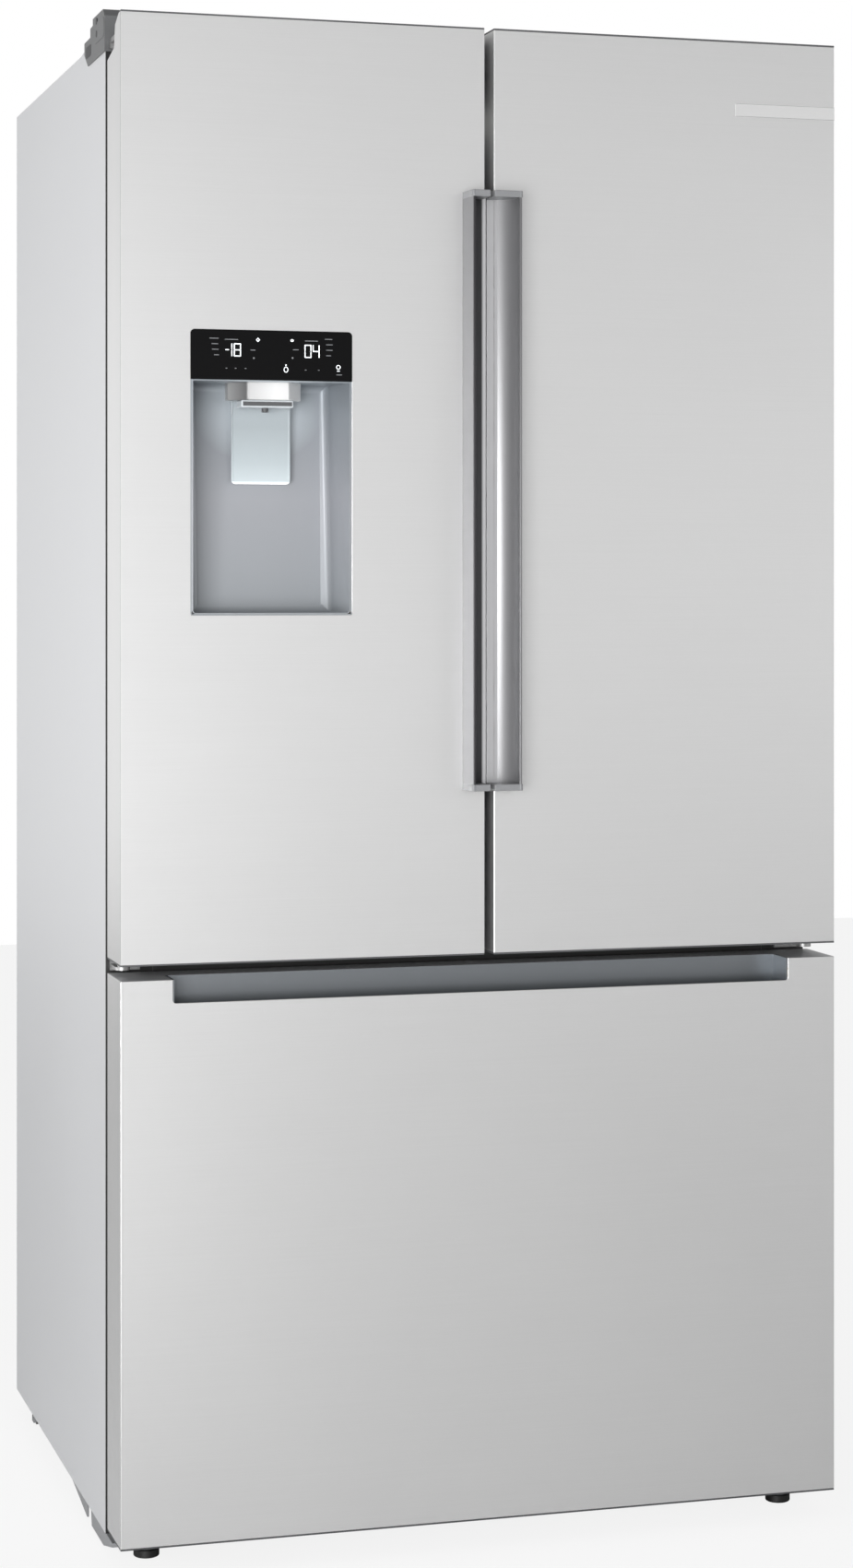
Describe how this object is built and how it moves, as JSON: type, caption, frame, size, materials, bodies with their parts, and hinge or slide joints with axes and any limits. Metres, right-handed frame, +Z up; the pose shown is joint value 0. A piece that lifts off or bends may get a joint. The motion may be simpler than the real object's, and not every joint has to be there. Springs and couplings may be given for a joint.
{
  "type": "french door refrigerator",
  "caption": "Tall refrigerator with two hinged upper doors, a dispenser niche in the left door, scooped centre handles and a freezer drawer with a recessed grip.",
  "frame": {"origin": "on the floor under the middle of the overall box", "axes": "+Z up, -Y out of the doors, +X to the right of someone facing the doors"},
  "size_m": [0.905, 0.8355, 1.849],
  "materials": {
    "air_duct": "white",
    "base_pan": "zinc",
    "cabinet_shell": "smooth grey paint",
    "ceiling_lamp": "white",
    "compressor": "black enamel",
    "condenser_coil": "bare",
    "condenser_fan": "black",
    "control_panel": "black gloss",
    "crisper_left": "clear",
    "crisper_right": "clear",
    "dispenser_housing": "smooth",
    "dispenser_paddle": "frosted",
    "dispenser_spout": "satin",
    "door_hinges": "zinc",
    "drawer_caps": "fine grain",
    "drawer_foam": "closed foam",
    "drawer_gasket": "soft",
    "drawer_grip": "satin anodised",
    "drawer_liner": "white",
    "drawer_skin": "fine vertical brush",
    "evaporator_cover": "white",
    "evaporator_fan": "black",
    "fan_motors": "black enamel",
    "fixed_rails": "zinc",
    "freezer_basket": "white",
    "freezer_liner": "white",
    "freezer_tray": "clear",
    "fridge_liner": "white",
    "front_rollers": "black",
    "glass_shelves": "clear",
    "hinge_covers": "fine grain",
    "hinge_screws": "zinc",
    "ice_bin": "white",
    "inner_rails": "zinc",
    "insulation": "closed foam",
    "left_door_bins": "clear",
    "left_door_caps": "fine grain",
    "left_door_foam": "closed foam",
    "left_door_gasket": "soft",
    "left_door_liner": "white",
    "left_door_skin": "fine vertical brush",
    "left_handle": "satin anodised",
    "levelling_feet": "black",
    "mains_inlet": "black",
    "middle_rails": "zinc",
    "mullion_bar": "black",
    "rear_covers": "zinc",
    "rear_rollers": "black",
    "right_door_bins": "clear",
    "right_door_caps": "fine grain",
    "right_door_foam": "closed foam",
    "right_door_gasket": "soft",
    "right_door_liner": "white",
    "right_door_skin": "fine vertical brush",
    "right_handle": "satin anodised",
    "shelf_frames": "white",
    "shelf_tracks": "zinc",
    "trim_strip": "satin anodised",
    "water_nozzle": "gloss",
    "water_valve": "black"
  },
  "bodies": {
    "cabinet": {"air_duct": "air_duct", "base_pan": "base_pan", "cabinet_shell": "cabinet_shell", "ceiling_lamp": "ceiling_lamp", "compressor": "compressor", "condenser_coil": "condenser_coil", "door_hinges": "door_hinges", "evaporator_cover": "evaporator_cover", "fan_motors": "fan_motors", "fixed_rails": "fixed_rails", "freezer_liner": "freezer_liner", "fridge_liner": "fridge_liner", "glass_shelves": "glass_shelves", "hinge_covers": "hinge_covers", "hinge_screws": "hinge_screws", "insulation": "insulation", "levelling_feet": "levelling_feet", "mains_inlet": "mains_inlet", "rear_covers": "rear_covers", "shelf_frames": "shelf_frames", "shelf_tracks": "shelf_tracks", "water_valve": "water_valve"},
    "left_door": {"left_door_bins": "left_door_bins", "left_door_caps": "left_door_caps", "left_door_foam": "left_door_foam", "left_door_gasket": "left_door_gasket", "left_door_liner": "left_door_liner", "left_door_skin": "left_door_skin", "left_handle": "left_handle", "ice_bin": "ice_bin", "dispenser_housing": "dispenser_housing", "control_panel": "control_panel", "dispenser_spout": "dispenser_spout", "water_nozzle": "water_nozzle"},
    "right_door": {"right_door_bins": "right_door_bins", "right_door_caps": "right_door_caps", "right_door_foam": "right_door_foam", "right_door_gasket": "right_door_gasket", "right_door_liner": "right_door_liner", "right_door_skin": "right_door_skin", "right_handle": "right_handle", "trim_strip": "trim_strip"},
    "drawer": {"drawer_skin": "drawer_skin", "drawer_caps": "drawer_caps", "drawer_foam": "drawer_foam", "drawer_liner": "drawer_liner", "drawer_gasket": "drawer_gasket", "drawer_grip": "drawer_grip", "freezer_basket": "freezer_basket", "inner_rails": "inner_rails"},
    "mullion": {"mullion_bar": "mullion_bar"},
    "paddle": {"dispenser_paddle": "dispenser_paddle"},
    "tray": {"freezer_tray": "freezer_tray"},
    "rail_middles": {"middle_rails": "middle_rails"},
    "left_crisper": {"crisper_left": "crisper_left"},
    "right_crisper": {"crisper_right": "crisper_right"},
    "front_roller_pair": {"front_rollers": "front_rollers"},
    "rear_roller_pair": {"rear_rollers": "rear_rollers"},
    "condenser_rotor": {"condenser_fan": "condenser_fan"},
    "evaporator_rotor": {"evaporator_fan": "evaporator_fan"}
  },
  "joints": [
    {"name": "left_door_swing", "type": "hinge", "parent": "cabinet", "child": "left_door", "pos_m": [-0.436, -0.3185, 1.25], "axis": [0, 0, -1], "range_deg": [0, 120]},
    {"name": "right_door_swing", "type": "hinge", "parent": "cabinet", "child": "right_door", "pos_m": [0.436, -0.3185, 1.25], "axis": [0, 0, 1], "range_deg": [0, 120]},
    {"name": "freezer_slide", "type": "slide", "parent": "cabinet", "child": "drawer", "axis": [0, -1, 0], "range_m": [0, 0.45]},
    {"name": "rail_middle_slide", "type": "slide", "parent": "cabinet", "child": "rail_middles", "axis": [0, -1, 0], "range_m": [0, 0.225]},
    {"name": "tray_slide", "type": "slide", "parent": "drawer", "child": "tray", "axis": [0, 1, 0], "range_m": [0, 0.11]},
    {"name": "mullion_fold", "type": "hinge", "parent": "left_door", "child": "mullion", "pos_m": [-0.034, -0.2775, 1.25], "axis": [0, 0, -1], "range_deg": [0, 90]},
    {"name": "left_crisper_slide", "type": "slide", "parent": "cabinet", "child": "left_crisper", "axis": [0, -1, 0], "range_m": [0, 0.09]},
    {"name": "right_crisper_slide", "type": "slide", "parent": "cabinet", "child": "right_crisper", "axis": [0, -1, 0], "range_m": [0, 0.09]},
    {"name": "paddle_push", "type": "hinge", "parent": "left_door", "child": "paddle", "pos_m": [-0.269, -0.323, 1.391], "axis": [1, 0, 0], "range_deg": [0, 4.5], "stiffness_Nm_per_rad": 0.5},
    {"name": "front_rollers_roll", "type": "hinge", "parent": "cabinet", "child": "front_roller_pair", "pos_m": [0, -0.1655, 0.0105], "axis": [1, 0, 0], "continuous": true},
    {"name": "rear_rollers_roll", "type": "hinge", "parent": "cabinet", "child": "rear_roller_pair", "pos_m": [0, 0.3075, 0.0105], "axis": [1, 0, 0], "continuous": true},
    {"name": "condenser_fan_spin", "type": "hinge", "parent": "cabinet", "child": "condenser_rotor", "pos_m": [-0.08, 0.3175, 0.15], "axis": [1, 0, 0], "continuous": true},
    {"name": "evaporator_fan_spin", "type": "hinge", "parent": "cabinet", "child": "evaporator_rotor", "pos_m": [0, 0.3175, 0.575], "axis": [0, 1, 0], "continuous": true}
  ],
  "couplings": [
    {"joint": "rail_middle_slide", "follows": "freezer_slide", "ratio": 0.5}
  ]
}
